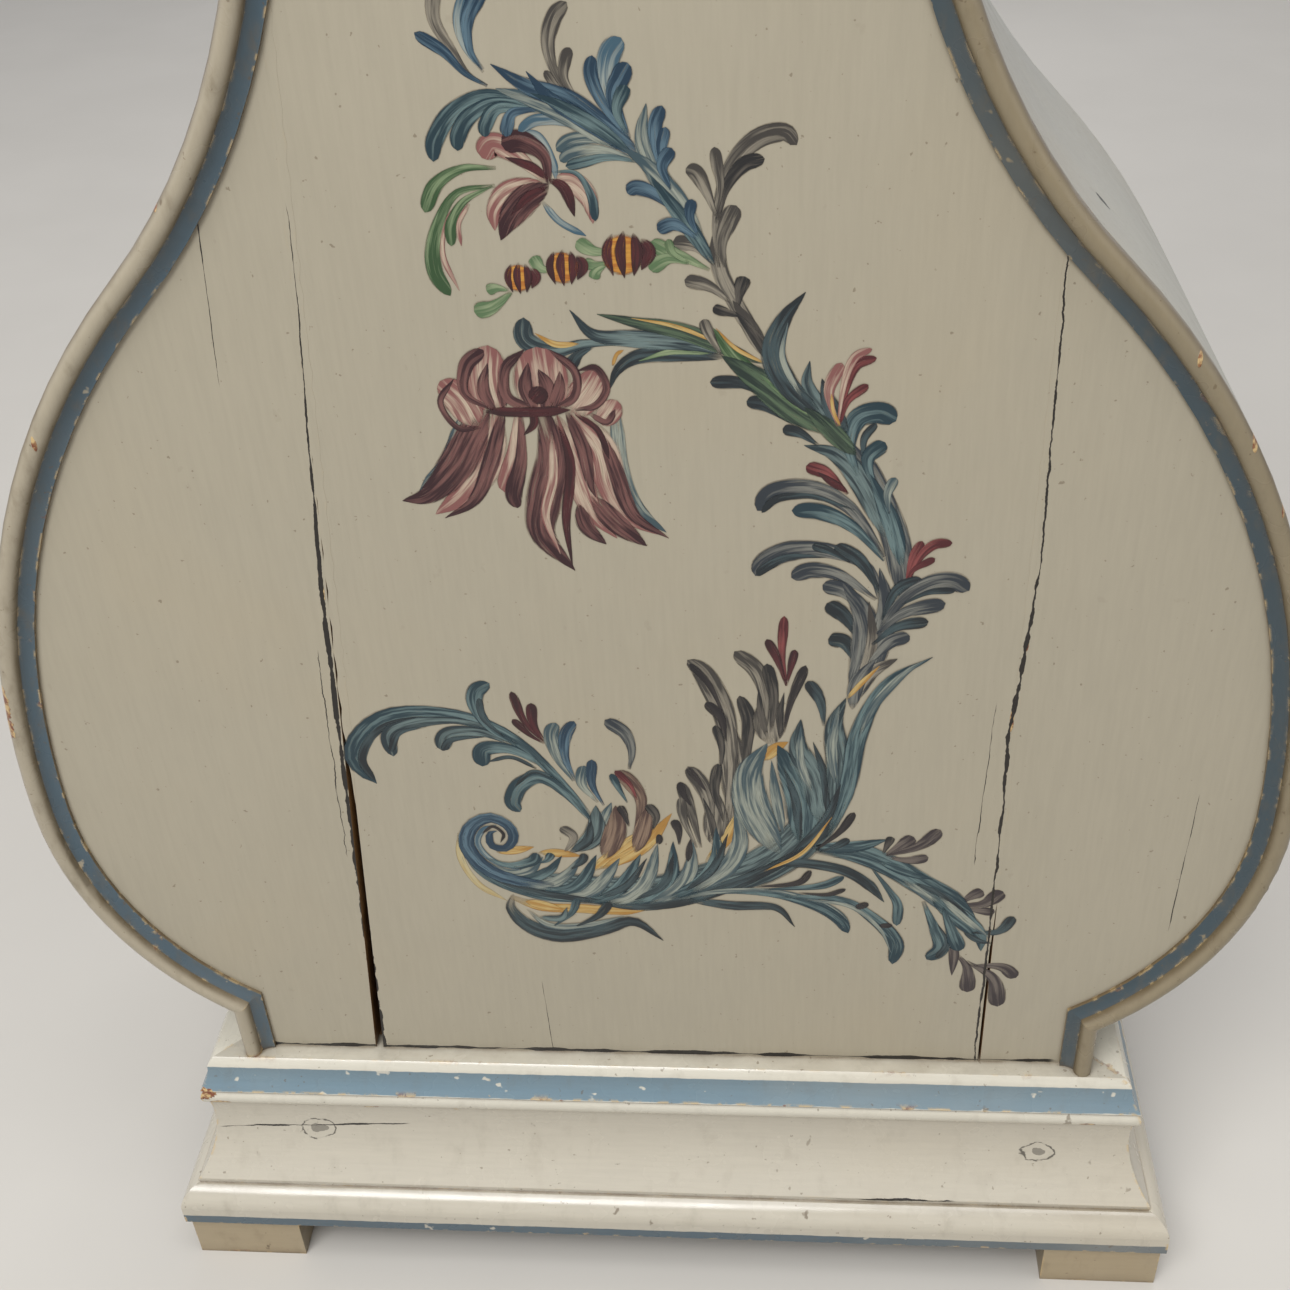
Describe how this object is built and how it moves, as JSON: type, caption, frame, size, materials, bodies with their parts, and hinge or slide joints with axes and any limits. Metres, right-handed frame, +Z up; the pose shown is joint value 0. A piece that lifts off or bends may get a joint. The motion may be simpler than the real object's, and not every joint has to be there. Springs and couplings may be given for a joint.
{
  "type": "longcase clock",
  "caption": "Painted longcase clock with a pear-shaped trunk, coved plinth, arched hood, trunk door, pendulum and one weight.",
  "frame": {"origin": "on the floor, under the middle of the clock's bounding box", "axes": "+Z up, the front faces -Y, +X to the right of someone facing the clock"},
  "size_m": [0.631, 0.2516, 2.147],
  "materials": {
    "panel_paint": "satin oil paint on pine boards",
    "moulding_paint": "ivory oil paint, worn along the edges",
    "bare_pine": "bare aged pine",
    "brass": "dull brass",
    "iron": "dark forged iron",
    "steel": "polished steel",
    "dial_paint": "off-white paint on sheet iron",
    "hand_gilt": "gilt brass",
    "clear_glass": "clear old glass",
    "gut_line": "twisted gut line"
  },
  "bodies": {
    "case": {"feet": "moulding_paint", "base_moulding_front": "moulding_paint", "base_moulding_sides": "moulding_paint", "plinth_cove_front": "moulding_paint", "plinth_cove_sides": "moulding_paint", "plinth_cap_front": "moulding_paint", "plinth_cap_sides": "moulding_paint", "plinth_deck": "bare_pine", "front_board_centre": "panel_paint", "front_board_left": "panel_paint", "front_board_right": "panel_paint", "side_board_left": "moulding_paint", "side_board_right": "moulding_paint", "lower_side_strips": "moulding_paint", "edge_moulding_left": "moulding_paint", "edge_moulding_right": "moulding_paint", "backboard": "bare_pine", "neck_moulding": "moulding_paint", "cheeks": "bare_pine", "seat_board": "bare_pine", "door_hinge_fixed": "iron", "dial": "dial_paint", "front_plate": "brass", "back_plate": "brass", "pillars": "brass", "back_cock": "brass", "weight_line": "gut_line"},
    "door": {"trunk_door": "panel_paint", "door_hinge_moving": "iron", "lock_case": "iron", "escutcheon": "brass"},
    "lock_bolt": {"lock_bolt": "steel"},
    "door_key": {"door_key": "iron"},
    "hood": {"hood_front": "panel_paint", "hood_sides": "moulding_paint", "hood_canopy": "moulding_paint", "hood_base_moulding": "moulding_paint", "hood_arch_moulding": "moulding_paint", "crest": "moulding_paint", "bezel_hinge": "iron"},
    "bezel": {"bezel_ring": "moulding_paint", "bezel_glass": "clear_glass", "bezel_knob": "brass"},
    "barrel": {"barrel": "brass"},
    "great_wheel": {"great_wheel": "brass"},
    "centre_arbor": {"centre_wheel": "brass", "cannon_wheel": "brass", "minute_hand": "hand_gilt"},
    "third_wheel": {"third_wheel": "brass"},
    "escape_wheel": {"escape_wheel": "brass"},
    "anchor": {"anchor": "steel"},
    "minute_wheel": {"minute_wheel": "brass"},
    "hour_wheel": {"hour_wheel": "brass", "hour_hand": "hand_gilt"},
    "pendulum": {"pendulum_rod": "steel", "pendulum_bob": "brass", "rating_nut": "brass"},
    "weight": {"weight": "iron", "pulley_block": "iron"},
    "line_pulley": {"line_pulley": "brass"}
  },
  "joints": [
    {"name": "door_swing", "type": "hinge", "parent": "case", "child": "door", "pos_m": [0.07025, -0.08725, 1.125], "axis": [0, 0, 1], "range_deg": [0, 105]},
    {"name": "key_turn", "type": "hinge", "parent": "door", "child": "door_key", "pos_m": [-0.034, -0.08425, 1.125], "axis": [0, 1, 0], "range_deg": [0, 90]},
    {"name": "bolt_slide", "type": "slide", "parent": "door", "child": "lock_bolt", "axis": [-1, 0, 0], "range_m": [0, 0.0081]},
    {"name": "hood_slide", "type": "slide", "parent": "case", "child": "hood", "axis": [0, -1, 0], "range_m": [0, 0.26]},
    {"name": "bezel_swing", "type": "hinge", "parent": "hood", "child": "bezel", "pos_m": [0.176, -0.10555, 1.8], "axis": [0, 0, 1], "range_deg": [0, 95]},
    {"name": "barrel_winding", "type": "hinge", "parent": "case", "child": "barrel", "pos_m": [0, -0.019, 1.7506], "axis": [0, 1, 0], "range_deg": [0, 5400]},
    {"name": "weight_rise", "type": "slide", "parent": "case", "child": "weight", "axis": [0, 0, 1], "range_m": [0, 1.1815], "deforming": ["weight_line"]},
    {"name": "pulley_turn", "type": "hinge", "parent": "weight", "child": "line_pulley", "pos_m": [-0.00305, -0.019, 0.402], "axis": [0, 1, 0], "range_deg": [0, 3076]},
    {"name": "centre_turn", "type": "hinge", "parent": "case", "child": "centre_arbor", "pos_m": [0, -0.042, 1.8], "axis": [0, 1, 0], "continuous": true},
    {"name": "great_wheel_turn", "type": "hinge", "parent": "case", "child": "great_wheel", "pos_m": [0, -0.002, 1.7506], "axis": [0, 1, 0], "continuous": true},
    {"name": "third_turn", "type": "hinge", "parent": "case", "child": "third_wheel", "pos_m": [0.02083, -0.042, 1.82482], "axis": [0, 1, 0], "continuous": true},
    {"name": "escape_turn", "type": "hinge", "parent": "case", "child": "escape_wheel", "pos_m": [0, -0.042, 1.84232], "axis": [0, 1, 0], "continuous": true},
    {"name": "minute_wheel_turn", "type": "hinge", "parent": "case", "child": "minute_wheel", "pos_m": [-0.03157, -0.045, 1.78851], "axis": [0, 1, 0], "continuous": true},
    {"name": "hour_turn", "type": "hinge", "parent": "case", "child": "hour_wheel", "pos_m": [0, -0.045, 1.8], "axis": [0, 1, 0], "continuous": true},
    {"name": "pendulum_swing", "type": "hinge", "parent": "case", "child": "pendulum", "pos_m": [0, 0.045, 1.87569], "axis": [0, 1, 0], "range_deg": [-2.5, 2.5]},
    {"name": "anchor_rock", "type": "hinge", "parent": "case", "child": "anchor", "pos_m": [0, -0.042, 1.87569], "axis": [0, 1, 0], "range_deg": [-2.6, 2.6]}
  ],
  "couplings": [
    {"joint": "bolt_slide", "follows": "key_turn", "m_per_rad": 0.00509},
    {"joint": "weight_rise", "follows": "barrel_winding", "m_per_rad": 0.012525},
    {"joint": "pulley_turn", "follows": "barrel_winding", "ratio": 0.56932},
    {"joint": "great_wheel_turn", "follows": "centre_turn", "ratio": -0.083333},
    {"joint": "third_turn", "follows": "centre_turn", "ratio": -8},
    {"joint": "escape_turn", "follows": "centre_turn", "ratio": 60},
    {"joint": "minute_wheel_turn", "follows": "centre_turn", "ratio": -0.33333},
    {"joint": "hour_turn", "follows": "centre_turn", "ratio": 0.083333},
    {"joint": "anchor_rock", "follows": "pendulum_swing", "ratio": 1}
  ]
}
